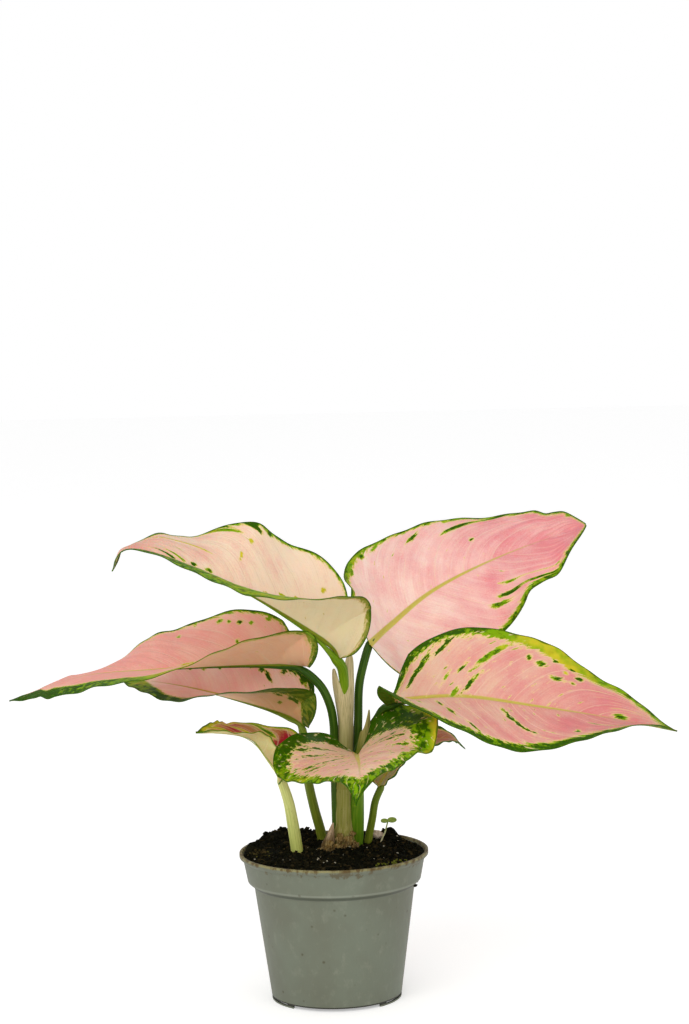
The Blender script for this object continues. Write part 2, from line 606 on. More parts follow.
        "rib": [(17, -3, 156), (16, -53, 164), (17, -97, 167), (17, -129, 164), (14, -142, 151)],
        "halfWidth": 52, "fullness": (0.61, 1.26), "lobe": (12, 15), "lift": (1, 0), "lobeForm": (0.08, 1.2),
        "flatBase": 0.03,
        "widths": [(0.24, 0.12, 4, 0)], "fold": ((47, 11, 16), (37, 7, 14)), "curl": ((20, -34, -1), (30, -16, -10)),
        "roll": (11, 14, 9),
        "ripple": ((3.5, 3.3, 40), (0.9, 3.1, 163)),
        "stalk": [(13, 17, 76), (14, 14.4, 96), (15.2, 9, 114), (16.4, 2, 138), (16.8, -1.6, 149), (17, -2.8, 155)],
        "stalkRadii": (4.2, 5, 4, 3), "stalkColour": "midGreen",
        "rim": ((27, 27, 15, 8, 9, 16), (17, 12, 9, 8, 9, 16)),
        "tone": ((-0.3, 0, 0.2, 0.3, 0.25, 0.25), (-0.4, -0.2, 0.2, 0.4, 0.25, 0.25)),
        "edgeTone": ((0, 1.2, 1.0, 0.3, 0, 0), (0, 0, 0.2, 0.2, 0, 0)),
        "blush": (0.3, 0.55, 0.6, 0.2), "skin": "blush", "jagged": 24, "dashes": 0.7, "flecks": 1.2,
        "veinForward": (0.04, 0.12),
        "spots": [
            (0.3, -0.35, 10, 2.6, -0.5), (0.36, -0.5, 12, 3, -0.3), (0.42, 0.35, 14, 2, -0.2),
            (0.3, 0.5, 12, 2.4, -0.4),
            (0.34, 0.25, 7, 1.4), (0.5, 0.6, 8, 4, 0), (0.07, 0.4, 20, 7, -0.8), (0.45, -0.6, 10, 3, 0.2),
            (0.2, 0.5, 14, 3, -0.5), (0.24, 0.68, 8, 4, -0.3), (0.45, 0.62, 7, 5, 0), (0.18, -0.45, 12, 3, -0.3),
            (0.02, 0.06, 12, 7, -0.2), (0.02, -0.06, 12, 7, -0.2)],
    },
    "low_left": {
        "rib": [(-30, -9, 142), (-41, -8, 156), (-50, -11, 168), (-65, -20, 174), (-84, -28, 176)],
        "halfWidth": 26, "fullness": (0.6, 1), "lobe": (5, 2), "lift": (0, 0),
        "widths": [(0.27, 0.1, 0, 7)], "fold": ((70, 32, 40), (60, 3, 35)), "curl": ((0, 0, 0), (20, -15, 0)),
        "roll": (-42, -22, -15),
        "ripple": ((1.2, 3, 200), (0.8, 3, 60)),
        "stalk": [(-21.5, 1, 76), (-23.4, -1, 95), (-25.6, -4, 113), (-28, -6.6, 128), (-29.8, -8.8, 141.3)],
        "stalkRadii": (3.9, 3.8, 3), "stalkColour": "paleGreen",
        "rim": ((1, 1, 2, 2, 3, 4), (1, 2, 3, 3, 4, 4)),
        "tone": ((0.5, 0.6, 0.7, 0.7, 0.7, 0.5), (0.3, 0.5, 0.6, 0.8, 0.7, 0.5)),
        "blush": (0.8, 1.1, 0.4, 1.0, 0.2, -0.2), "skin": "crimson", "jagged": 9,
        "spots": [(0.36, 0.75, 8, 3, 0.2), (0.5, 0.4, 8, 3, 0.8), (0.6, 0.6, 8, 4, 0.8), (0.75, 0.3, 8, 4, 0.7)],
    },
    "low_right": {
        "rib": [(29, 12, 132), (44, 20, 149), (61, 26, 157), (76, 34, 158), (86, 40, 150)],
        "halfWidth": 20, "fullness": (0.62, 0.95), "lobe": (3, 3), "lift": (0, 0),
        "fold": ((13, 14, 14), (15, 16, 7)), "curl": ((0, 0, 0), (0, 0, 0)), "roll": (0, 8, 22),
        "ripple": ((0.6, 3, 0), (0.6, 3, 90)),
        "stalk": [(20.5, 23, 76), (22, 21, 94), (25, 17.3, 110), (27.2, 14.8, 122), (28.9, 12.3, 131.2)],
        "stalkRadii": (2.8, 2.5, 2.3), "stalkColour": "oliveGreen",
        "rim": ((1, 2, 2.4, 2.4, 3, 3), (1, 2, 2.4, 2.4, 3, 3)),
        "tone": ((-0.3,) * 6, (-0.3,) * 6),
        "blush": (0.0, 0.2, 0.8, 0.8), "skin": "mauve", "jagged": 5,
        "spots": [],
    },
}

leafBuild = {
    "across": 88, "along": 170,  # cells
    "crowding": 1.2,  # above 1, the cells are shorter at the base
    "thickness": 0.5,
    "leastWidth": 1.2,
    "lobeForm": (0.1, 2),  # place along, and how much of it is by the margin
    "flatBase": 0.1,  # up to here the fold opens
    "ribGroove": 0.5, "ribGrooveWidth": 2.2,
    "veinForward": (0.2, 0.42),  # how far a side vein runs forward by the margin: at the base, and more to the tip
    "edgeWave": (0.5, 9.3),  # height and count of the small waves in the margin
    "edgeToneWidth": 7, "dashes": 0.15, "flecks": 0.7,
    "longSpot": 4,  # a longer spot follows the side vein, a shorter one the rib
    "spotDepth": 1.8, "spotTone": -0.2,
    "halvesApart": 50, "leastGreen": -20,  # so that the two halves have their own noise, and a floor for the green
    "bigLeaf": 30, "veinGaps": (7, 11),  # half width from which a leaf has the wide gap between its veins
    "keel": ((0.03, 0.62), (0.1, 0.32), (0.2, 0.17), (0.38, 0.11), (0.54, 0.08), (0.7, 0.06), (0.84, 0.03)),
    # the stalk runs on under the rib: place along the blade and radius, as a share of the stalk's end
}

leafColours = {  # as seen, from 0 to 255
    "Upper": {"Vein Colour": (232, 208, 178), "Halo": (224, 206, 148), "Light Green": (122, 160, 10),
              "Dark Green": (48, 86, 0), "Yellow": (194, 184, 40), "Midrib Colour": (196, 182, 88)},
    "Under": {"Vein Colour": (216, 196, 152), "Halo": (186, 168, 96), "Light Green": (124, 134, 36),
              "Dark Green": (58, 92, 4), "Yellow": (186, 168, 96), "Midrib Colour": (124, 134, 36)},
}
leafPinks = {  # the upper side's pink and pale, then the underside's
    "rose": ((220, 136, 140), (238, 208, 194), (206, 140, 128), (220, 178, 156)),
    "dusty": ((210, 128, 128), (218, 186, 160), (206, 140, 128), (216, 190, 150)),
    "cream": ((222, 148, 136), (233, 210, 182), (192, 172, 134), (216, 204, 164)),
    "coral": ((234, 160, 148), (240, 202, 178), (210, 162, 130), (214, 176, 140)),
    "rosy": ((240, 178, 172), (250, 226, 206), (202, 158, 120), (208, 168, 122)),
    "blush": ((210, 134, 132), (236, 210, 176), (196, 150, 116), (206, 180, 136)),
    "crimson": ((164, 36, 48), (190, 168, 96), (176, 150, 92), (194, 186, 122)),
    "mauve": ((176, 104, 88), (184, 168, 116), (176, 150, 124), (184, 172, 126)),
}
leafSides = {  # distance of the bump, green and veins
    "Upper": (0.0007, 1.0, 0.35),
    "Under": (0.0009, 0.96, 0.3),
}
underFlecks = 0.4
leafShine = {"Specular_IOR_Level": 0.05, "Subsurface_Weight": 0.4, "Subsurface_Scale": 0.0012}


def bladeFrame(leaf, line, s):
    place, direction = onLine(line, s)
    up = Vector((0, 0, 1))
    flatNormal = (up - direction * up.dot(direction)).normalized()
    flatRight = direction.cross(flatNormal)
    roll = curveValue(leaf["roll"], s)
    for at, spread, degrees in leaf.get("twists", ()):
        roll += degrees * bump((s - at) / spread)
    roll = math.radians(roll)
    normal = flatNormal * math.cos(roll) + flatRight * math.sin(roll)
    right = flatRight * math.cos(roll) - flatNormal * math.sin(roll)
    return place, direction, normal, right


def curveValue(values, s):  # through the values at base, middle and tip
    base, middle, tip = values
    return base * (1 - s) * (1 - 2 * s) + 4 * middle * s * (1 - s) + tip * s * (2 * s - 1)


def bladeWidth(leaf, s, side):
    p, q = leaf["fullness"]
    peak = (p / (p + q)) ** p * (q / (p + q)) ** q
    share = s ** p * max(0, 1 - s) ** q / peak
    width = leaf["halfWidth"] * share
    for at, spread, *more in leaf.get("widths", ()):
        width += more[side] * bump((s - at) / spread) * min(1, 8 * share)
    return max(width, leafBuild["leastWidth"]), share


def bladePoint(leaf, stand, s, v):  # v from -1 at the left margin to 1 at the right one
    place, direction, normal, right = stand
    side = 0 if v < 0 else 1
    reach = abs(v)
    width, share = bladeWidth(leaf, s, side)
    opening = min(1, s / leaf.get("flatBase", leafBuild["flatBase"]))
    fold = math.radians(curveValue(leaf["fold"][side], s)) * opening
    turn = math.radians(curveValue(leaf["curl"][side], s)) * reach * opening
    chord = width * reach * (math.sin(turn / 2) / (turn / 2) if abs(turn) > 1e-6 else 1)
    height, count, begin = leaf["ripple"][side]
    ripple = height * reach ** 2 * min(1, 1.3 * share) * math.sin(2 * math.pi * count * s + math.radians(begin))
    for at, spread, *rise in leaf.get("bends", ()):
        ripple += rise[side] * reach ** 2 * bump((s - at) / spread)
    lobeLength, power = leaf.get("lobeForm", leafBuild["lobeForm"])
    lobe = (s / lobeLength * math.exp(1 - s / lobeLength)) ** 2 * reach ** power
    waveHeight, waveCount = leafBuild["edgeWave"]
    ripple += waveHeight * reach ** 4 * min(1, 2 * share) * math.sin(2 * math.pi * waveCount * s + begin)
    groove = leafBuild["ribGroove"] * (1 - s) * bump(width * v / leafBuild["ribGrooveWidth"])
    across = chord * math.cos(fold + turn / 2) - ripple * math.sin(fold + turn)
    out = chord * math.sin(fold + turn / 2) + ripple * math.cos(fold + turn) + leaf["lift"][side] * lobe - groove
    return place + right * math.copysign(across, v) + normal * out - direction * leaf["lobe"][side] * lobe


def veinStart(leaf, s, v):
    base, more = leaf.get("veinForward", leafBuild["veinForward"])
    return s - (base + more * s ** 3) * (0.6 * abs(v) + 0.4 * v * v)


def leafValues(leaf, length, s, v):  # what the leaf pattern reads at a point
    side = 0 if v < 0 else 1
    width, _ = bladeWidth(leaf, s, side)
    reach = abs(v)
    margin = (1 - reach) * width * (1 if s < 0.9 else 0.8)
    start = veinStart(leaf, s, v) * length
    green = between(leaf["rim"][side], s) - margin
    tone = between(leaf["tone"][side], s)
    for along, across, run, wide, *own in leaf["spots"]:
        if across * v < 0:
            continue
        spotWidth, _ = bladeWidth(leaf, along, side)
        if run > leafBuild["longSpot"]:
            offAlong = (start - veinStart(leaf, along, across) * length) / wide
        else:
            offAlong = (s - along) * length / wide
        offOut = (reach * width - abs(across) * spotWidth) / run
        inside = (0.5 - math.hypot(offAlong, offOut)) * min(wide, 4) * leafBuild["spotDepth"]
        if inside > green:
            green, tone = inside, own[0] if own else leafBuild["spotTone"]
    if "edgeTone" in leaf:
        tone += between(leaf["edgeTone"][side], s) * max(0, 1 - margin / leafBuild["edgeToneWidth"])
    return ((v * width, s * length, margin), (start, reach * width, side * leafBuild["halvesApart"]),
            (max(green, leafBuild["leastGreen"]), tone, between(leaf["blush"], s)))


def leafMaterials(name, leaf, length):
    gap = leafBuild["veinGaps"][leaf["halfWidth"] > leafBuild["bigLeaf"]]
    pinks = leafPinks[leaf["skin"]]
    for i, (side, (distance, green, veins)) in enumerate(leafSides.items()):
        flecks = underFlecks if i else leaf.get("flecks", leafBuild["flecks"])
        yield patternMaterial(f"{name}{side}", leafPattern, 0.5, distance, {
            "Jagged": leaf["jagged"], "Rib Width": leaf["stalkRadii"][-1] * 0.9, "Rib Length": length,
            "Vein Gap": gap, "Dashes": leaf.get("dashes", leafBuild["dashes"]), "Green": green, "Flecks": flecks,
            "Veins": veins, "Pink": pinks[2 * i], "Pale": pinks[2 * i + 1], **leafColours[side]}, **leafShine)


def makeBlade(name, leaf):
    line = lineThrough(leaf["rib"])
    piece = sheetGrid(f"leaf_{name}", leafBuild["across"], leafBuild["along"])
    stands, values = {}, []
    for vertex in piece.data.vertices:
        v = vertex.co.x
        s = ((vertex.co.y + 1) / 2) ** leafBuild["crowding"]
        key = round(vertex.co.y, 4)
        if key not in stands:
            stands[key] = bladeFrame(leaf, line, s)
        vertex.co = bladePoint(leaf, stands[key], s, v) * mm
        values.append(leafValues(leaf, line["length"], s, v))
    for attribute, column in zip(("flat", "vein", "paint"), zip(*values)):
        giveValues(piece, attribute, column)
    for material in leafMaterials(name, leaf, line["length"]):
        piece.data.materials.append(material)
    thicken(piece, leafBuild["thickness"], underside=1)
    dress(piece, "blade", f"blade_{name}")


stalkColours = {  # low, high, streak, speck, streaks, specks
    "darkGreen": ((58, 86, 14), (38, 74, 10), (92, 122, 28), (50, 60, 12), 0.5, 0.2),
    "brightGreen": ((104, 140, 14), (94, 132, 10), (152, 172, 46), (70, 100, 10), 0.4, 0.1),
    "midGreen": ((78, 118, 14), (86, 128, 14), (136, 158, 44), (56, 76, 12), 0.5, 0.2),
    "oliveGreen": ((116, 130, 34), (92, 116, 22), (150, 160, 60), (90, 80, 30), 0.5, 0.3),
    "paleGreen": ((196, 202, 110), (206, 206, 132), (150, 166, 66), (110, 84, 44), 0.6, 0.35),
}


def makeStalk(name, leaf):
    stalkPoints = [Vector(p) for p in leaf["stalk"]]
    stalkLength = lineThrough(stalkPoints)["length"]
    ribLine = lineThrough(leaf["rib"])
    end = leaf["stalkRadii"][-1]
    points = stalkPoints[:-1]
    for s, share in leafBuild["keel"]:
        place, _, normal, _ = bladeFrame(leaf, ribLine, s)
        points.append(place - normal * (end * share + 0.15 + leafBuild["ribGroove"] * (1 - s)))
    line = lineThrough(points, 300)
    change = min(0.97, stalkLength / line["length"])
    places = [change + (1 - change) * s / leafBuild["keel"][-1][0] for s, _ in leafBuild["keel"]]
    shares = [share for _, share in leafBuild["keel"]]

    def radiusAt(share):
        if share < change:
            return between(leaf["stalkRadii"], share / change)
        return end * float(numpy.interp(share, [change, *places], [1, *shares]))

    ribbed = lambda angle, share: 1 + 0.03 * math.sin(5 * angle + 1)
    piece = tubeAlong(f"stalk_{name}", line, radiusAt, rings=90, section=ribbed)
    *tints, streaks, specks = stalkColours[leaf["stalkColour"]]
    dress(piece, "stalk", f"petiole_{name}", skin=stalkMaterial(
        f"{name}Stalk", tints, (streaks, specks), (10, stalkLength), 0.42, 0.0004, Specular_IOR_Level=0.15))


for leafName, leafShape in leaves.items():
    makeBlade(leafName, leafShape)
    makeStalk(leafName, leafShape)
    print("leaf", leafName)


stemShape = {
    "points": [(6, 12, 64), (6.2, 11, 91.5), (7.2, 10, 117), (8, 9, 138)],
    "radii": (6, 9.4, 8.6, 6.2, 6.0, 6.0), "sides": 28, "rings": 70,
    "colours": ((92, 66, 32), (134, 134, 58), (176, 164, 108), (78, 50, 26)), "amounts": (0.7, 0.8),
}
wrapBuild = {
    "across": 64, "up": 60, "lap": 188,  # degrees to each side, so that the edges overlap
    "overlap": 0.35, "waver": 0.02, "amounts": (0.6, 0.25),
}
sheathShape = {
    "points": [(8, 9.4, 132), (9.2, 8.2, 160), (9.5, 7.2, 178), (8.6, 6.6, 200), (8, 6.4, 220)],
    "radii": (6.6, 5.0, 5.1, 7.0, 7.8),
    "wall": 0.7,
    "front": 197.0, "leftTip": (-56, 30, 13), "rightTip": (42, 44, 22),  # angle, spread and height above the front
    "colours": ((138, 134, 62), (204, 190, 146), (122, 118, 54), (112, 90, 46)),
}
sideSheathShape = {
    "points": [(18.6, 3.2, 148), (20.4, 3, 160), (22.2, 3, 173), (23.6, 3, 183.5)],
    "radii": (4.4, 4.2, 3.2, 2.0),
    "wall": 0.5,
    "front": 168.0, "leftTip": (-50, 30, 2), "rightTip": (30, 48, 15.5),
    "colours": ((104, 112, 26), (164, 152, 90), (92, 100, 26), (96, 72, 34)),
}
budShape = {
    "points": [(-3.6, 5.6, 84), (-3.8, 4.6, 92), (-2.4, 3.2, 101), (0, 2.4, 111)],
    "radii": (6.4, 5.0, 2.8, 0.5), "sides": 20, "rings": 40,
    "colours": ((92, 72, 38), (190, 164, 134), (112, 90, 52), (64, 40, 18)), "amounts": (0.7, 0.5),
    "change": (0.5, 0.85),
}
scarShape = {
    "places": [(9.8, 2.6, 99.5), (13.4, 3.6, 96), (6.4, 1.8, 95.4), (1.6, 0.4, 95.2), (12.2, 4.2, 103.4), (4, 2.2, 101),
               (-3.2, -1.2, 94.4), (-7.4, 0.6, 93.6), (2.4, -0.8, 92.6), (9, 0.6, 92.8), (-2.6, 0.2, 98)],
    "sizes": [(6.4, 3.6, 5.2), (5, 4, 4.6), (6, 4, 4.6), (6, 4.4, 5), (3.4, 2.4, 2.6), (4.4, 2.8, 6),
              (6, 4, 5.4), (5.4, 4, 4), (6, 4, 3.4), (7, 4, 3.4), (4.4, 3.4, 4.4)],
    "colours": ((60, 42, 20), (110, 86, 40), (166, 146, 98), (46, 24, 10)), "amounts": (0.8, 1.0),
    "rough": 0.55, "dent": 0.3, "dentWidth": 0.16, "change": (92, 101),
}


def plantSkin(name, shape, amounts, length):
    change = [share * length for share in shape.get("change", (0.15, 0.7))]  # one colour goes over into the other
    return stalkMaterial(name, shape["colours"], amounts, change, 0.55, 0.0005, Specular_IOR_Level=0.1)


def makeShoot(name, shape, node, section):
    line = lineThrough(shape["points"])
    piece = tubeAlong(name, line, lambda share: between(shape["radii"], share), shape["sides"], shape["rings"], section)
    dress(piece, "stem", node, skin=plantSkin(f"{name}Skin", shape, shape["amounts"], line["length"]))


def caneSection(angle, share):  # rings of old leaf scars
    return 1 + 0.03 * math.sin(38 * share + math.sin(angle)) + 0.02 * math.sin(3 * angle + 2)


def budSection(angle, share):
    return 1 + 0.07 * math.sin(14 * share + 1.5 * math.sin(angle))


def makeWrap(name, shape, node):  # a sheath rolled round a line, open at the top, with two tips
    line = lineThrough(shape["points"])
    bottom, end = shape["points"][0][2], shape["points"][-1][2]
    piece = sheetGrid(name, wrapBuild["across"], wrapBuild["up"])
    values = []
    for vertex in piece.data.vertices:
        angle = vertex.co.x * math.radians(wrapBuild["lap"])  # 0 at the front
        top = shape["front"]
        for tipAngle, spread, rise in (shape["leftTip"], shape["rightTip"]):
            apart = (math.degrees(angle) - tipAngle + 180) % 360 - 180
            top += rise * math.exp(-abs(apart / spread) ** 3)
        height = bottom + (top - bottom) * ((vertex.co.y + 1) / 2)
        share = (height - bottom) / (end - bottom)
        place, _ = onLine(line, share)
        radius = between(shape["radii"], share) * (1 + wrapBuild["waver"] * math.sin(7 * angle))
        radius -= wrapBuild["overlap"] * (vertex.co.x + 1) / 2  # the overlapping edge goes inside
        vertex.co = (place + Vector((math.sin(angle), -math.cos(angle), 0)) * radius) * mm
        values.append((radius * math.sin(angle), radius * math.cos(angle), height - bottom))
    giveValues(piece, "run", values)
    thicken(piece, shape["wall"], offset=-1)
    dress(piece, "sheath", node, skin=plantSkin(f"{name}Skin", shape, wrapBuild["amounts"], end - bottom))


def makeScars():  # knobs of old leaf bases round the foot of the stem
    clearSelection()
    knobs = []
    for i, (place, size) in enumerate(zip(scarShape["places"], scarShape["sizes"])):
        def form(spot):
            dent = scarShape["dent"] * bump(math.hypot(spot.x, spot.z) / scarShape["dentWidth"]) if spot.y < 0 else 0
            return 1 + scarShape["rough"] * noise.fractal(spot * 3 + Vector((i, 0, 0)), 1.0, 2.0, 3) - dent

        knob = addLump(4, form)
        knob.data.transform(placing(place, size))
        knobs.append(knob)
    joined(knobs, knobs[0])
    piece = bpy.context.object
    piece.name = "leafScars"
    giveValues(piece, "run", [tuple(vertex.co / mm) for vertex in piece.data.vertices])
    dress(piece, "stem", skin=plantSkin("scarSkin", scarShape, scarShape["amounts"], 1), angle=80)


makeShoot("cane", stemShape, "stem", caneSection)
makeScars()
makeWrap("sheath", sheathShape, "sheath_centre")
makeWrap("sheathSmall", sideSheathShape, "sheath_side")
makeShoot("bud", budShape, "base_bud", budSection)
print("stem, sheaths and bud")


potShape = {
    "rim": 60.0, "height": 94.0, "wall": 1.3, "foot": 41.4, "footHeight": 2.0, "disc": 34.0, "channel": 4.0,
    "bodyTop": (51.0, 72.5), "bandFoot": (55.0, 76.0), "bandTop": (57.6, 89.6), "lipWidth": 1.6, "lipHeight": 2.4,
    "sides": 128,
    "footArc": 96, "post": 7, "stripDepth": 1.5, "stripTop": 1.0, "postTop": 2.8,
    "stripInset": 0.1, "stripStep": 3,  # mm inside the wall, and degrees
    "drains": 8, "drainSize": (2.6, 9, 4), "drainReach": 3,
    "edge": 0.35,  # rounding
    # in metres, heights or places from the axis: where each mark on the plastic begins and ends
    "dirt": (0.0845, 0.0915), "crease": 0.0742, "wornEdge": 0.0765, "stainedLip": (0.0932, 0.0941),
    "ring": (0.0385, 0.0392), "ringTop": (0.0035, 0.0045), "slotLow": (0.0009, 0.0011), "slotHigh": (0.0027, 0.0031),
}


def makePotMaterial():
    material, shader = newMaterial("potPlastic", 0.55, Specular_IOR_Level=0.2)
    tree = shader.id_data
    place = placeOf(shader)
    x, y, z = splitVector(place)
    cloud = noiseOf(place, (28, 28, 20), 3, 0.6)
    skin = blend(easeBetween(cloud, 0.3, 0.7), (99, 102, 87), (105, 111, 96))
    film = noiseOf(place, (170, 170, 120), 4, 0.65)
    skin = coat(skin, (138, 140, 124), easeBetween(film, 0.5, 0.8), 0.3)
    # dirt under the lip and in the corner of the band
    grime = noiseOf(place, (230, 230, 120), 4, 0.68)
    cluster = scaled(noiseOf(place, (55, 55, 10), 1), 0.56, -0.08)
    rust = easeBetween(scaled(easeBetween(z, *potShape["dirt"]), cluster, grime), 0.68, 0.78)
    skin = coat(skin, (84, 72, 46), rust, 0.7)
    # the crease under the band, and the worn edge above it
    for height, low, high, strength, tint in ((potShape["crease"], 0.0006, 0.0016, 0.62, (46, 50, 40)),
                                              (potShape["wornEdge"], 0.0003, 0.0009, 0.2, (160, 164, 150))):
        away = calculate("ABSOLUTE", calculate("SUBTRACT", z, height))
        skin = coat(skin, tint, fadeBetween(away, low, high), strength)
    speck = addNode(tree, "ShaderNodeTexVoronoi", {"Vector": place, "Scale": 150.0}, feature="F1")
    rare = easeBetween(splitVector(speck.outputs["Color"])[0], 0.72, 0.8)
    skin = coat(skin, (72, 66, 48), times(fadeBetween(speck.outputs["Distance"], 0.08, 0.2), rare), 0.7)
    # dark under the foot and in its slots
    across = addNode(tree, "ShaderNodeCombineXYZ", {0: x, 1: y}).outputs[0]
    fromAxis = addNode(tree, "ShaderNodeVectorMath", {0: across}, operation="LENGTH").outputs["Value"]
    under = times(fadeBetween(fromAxis, *potShape["ring"]), fadeBetween(z, *potShape["ringTop"]))
    slot = times(easeBetween(z, *potShape["slotLow"]), fadeBetween(z, *potShape["slotHigh"]))
    skin = coat(skin, (24, 22, 14), calculate("MAXIMUM", under, slot), 0.85)
    # the worn, stained lip
    stain = blend(easeBetween(grime, 0.4, 0.6), (130, 124, 84), (84, 68, 36))
    skin = coat(skin, stain, easeBetween(scaled(grime, 0.0022, z), *potShape["stainedLip"]))
    rough = addNode(tree, "ShaderNodeMapRange", {"Value": film, "To Min": 0.42, "To Max": 0.62}).outputs["Result"]
    tree.links.new(rough, shader.inputs["Roughness"])
    connect(shader, skin, scaled(rust, 0.6, film), 0.0003)
    return material


def makePot():
    p = potShape
    wall = p["wall"]
    bodyRadius, bodyHeight = p["bodyTop"]
    bandRadius, bandHeight = p["bandFoot"]
    topRadius, topHeight = p["bandTop"]
    profile = [
        (p["disc"], 0), (p["disc"] + 1.4, p["channel"]), (p["foot"] - 2.6, p["channel"]),
        (p["foot"] - 1.6, p["footHeight"]), (p["foot"], p["footHeight"]), (bodyRadius, bodyHeight),
        (bandRadius, bandHeight), (topRadius, topHeight), (p["rim"], p["height"] - p["lipHeight"]),
        (p["rim"], p["height"]), (p["rim"] - p["lipWidth"], p["height"]), (topRadius - wall, topHeight - 0.6),
        (bandRadius - wall, bandHeight + 0.8), (bodyRadius - wall, bodyHeight + 0.8),
        (p["foot"] - wall, p["channel"] + wall), (p["disc"] + 0.8, p["channel"] + wall), (p["disc"] - 0.6, wall),
    ]
    piece = turnedPiece("nurseryPot", profile, p["sides"])
    cutters = []
    for i in range(p["drains"]):
        angle = (i + 0.5) * 2 * math.pi / p["drains"]
        reach = (p["disc"] + p["drainReach"]) * mm
        spot = (reach * math.cos(angle), reach * math.sin(angle), (p["channel"] + wall / 2) * mm)
        bpy.ops.mesh.primitive_cube_add(size=1, location=spot, rotation=(0, 0, angle))
        cutters.append(bpy.context.object)
        cutters[-1].scale = [side * mm for side in p["drainSize"]]
    for cutter in cutters:
        clearSelection()
        bpy.context.view_layer.objects.active = piece
        piece.select_set(True)
        applied(piece, "BOOLEAN", operation="DIFFERENCE", object=cutter)
        bpy.data.objects.remove(cutter)
    applied(piece, "BEVEL", width=p["edge"] * mm, segments=2, limit_method="ANGLE", angle_limit=math.radians(25))
    strips = []
    postShift = (p["footArc"] - p["post"]) / 2
    for middle in (0, 180):
        strips.append(makeFootStrip(middle, p["footArc"], 0, p["stripTop"]))
        for shift in (-postShift, 0, postShift):
            strips.append(makeFootStrip(middle + shift, p["post"], p["stripTop"] - 0.1, p["postTop"]))
    joined([*strips, piece], piece)
    dress(piece, "pot", "pot", skin=makePotMaterial(), angle=35)


def makeFootStrip(middle, arc, low, high):  # a rectangle spun round the pot's axis
    p = potShape
    outer = p["foot"] - p["stripInset"]
    inner = outer - p["stripDepth"]
    bpy.ops.mesh.primitive_plane_add(size=1)
    strip = bpy.context.object
    begin = math.radians(middle + arc / 2)  # the spin turns clockwise from here
    for vertex in strip.data.vertices:
        radius = inner if vertex.co.x < 0 else outer
        height = low if vertex.co.y < 0 else high
        vertex.co = Vector((radius * math.cos(begin), radius * math.sin(begin), height)) * mm
    bpy.ops.object.mode_set(mode="EDIT")
    bpy.ops.mesh.select_all(action="SELECT")
    steps = max(2, round(arc / p["stripStep"]))
    bpy.ops.mesh.spin(steps=steps, angle=math.radians(arc), center=(0, 0, 0), axis=(0, 0, 1))
    bpy.ops.mesh.select_all(action="SELECT")
    bpy.ops.mesh.remove_doubles(threshold=0.00001)
    bpy.ops.mesh.normals_make_consistent(inside=False)
    bpy.ops.object.mode_set(mode="OBJECT")
    return strip


makePot()
print("pot")


soilShape = {
    "edge": 92.2, "crown": 94.2, "bump": 0.7, "reach": 57.2,
    "heaps": [(-42, 34, 9, 6), (-31, 43, 9, 6), (-18, 49, 10, 4), (-51, 17, 8, 4.4), (37, 42, 6, 6), (30, 47, 10, 2)],
    # place, radius and height
    "waves": [(0.31, 0.27, 0.4, 1), (-0.42, 0.53, 0, 0.6), (0.71, 0.37, 1.6, 0.5)],
    "sides": 150, "rings": 60, "grain": 1.3, "gap": 0.5,  # between the soil and the wall
    "crumbs": 1900, "fibres": 22, "grit": 40, "seed": 7, "fibreRadius": 0.28,
    "crumbSizes": ((0.7, 2.0), (2.0, 3.6)), "smallCrumbs": 0.9, "gritSizes": (0.5, 1.3), "fibreLengths": (4, 11),
    "dryPatch": (-46, -2, 9),  # place and radius
    "moss": (26, -28, 48),  # right of, in front of, and away from the axis
    "stuck": [((51.3, -8, 71.8), (5.2, 1.8, 1.4), 1.2), ((52.2, -3, 73.4), (2.2, 1.4, 1.6), 0.3)],  # bits on the pot
}


def soilHeight(x, y):
    r = math.hypot(x, y) / soilShape["reach"]
    height = soilShape["crown"] + (soilShape["edge"] - soilShape["crown"]) * min(1, r) ** 2
    for heapX, heapY, radius, rise in soilShape["heaps"]:
        height += rise * bump(math.hypot(x - heapX, y - heapY) / radius)
    waves = 0
    for waveX, waveY, begin, rise in soilShape["waves"]:
        waves += rise * math.sin(waveX * x + waveY * y + begin)
    return height + soilShape["bump"] * waves * min(1, 2.4 * (1 - r))


def soilGrain(x, y):
    return soilShape["grain"] * noise.fractal(Vector((x * 0.22, y * 0.22, 3)), 0.8, 2.1, 4)


def makeSoilMaterial():
    material, shader = newMaterial("peat", 0.95, Specular_IOR_Level=0.05)
    place = placeOf(shader)
    patch = noiseOf(place, (70, 70, 70), 4, 0.65)
    grain = noiseOf(place, (520, 520, 520), 3, 0.7)
    skin = blend(easeBetween(grain, 0.35, 0.7), (6, 7, 4), (27, 27, 15))
    skin = coat(skin, (46, 42, 22), easeBetween(patch, 0.55, 0.75), 0.3)
    dry, pale, moss = splitVector(attributeOf(shader.id_data, "shade"))
    skin = coat(skin, (88, 74, 44), dry, 0.75)
    skin = coat(skin, (196, 190, 170), pale)
    skin = coat(skin, (122, 128, 46), moss)
    connect(shader, skin, grain, 0.0012, 0.8)
    return material


peat = makeSoilMaterial()


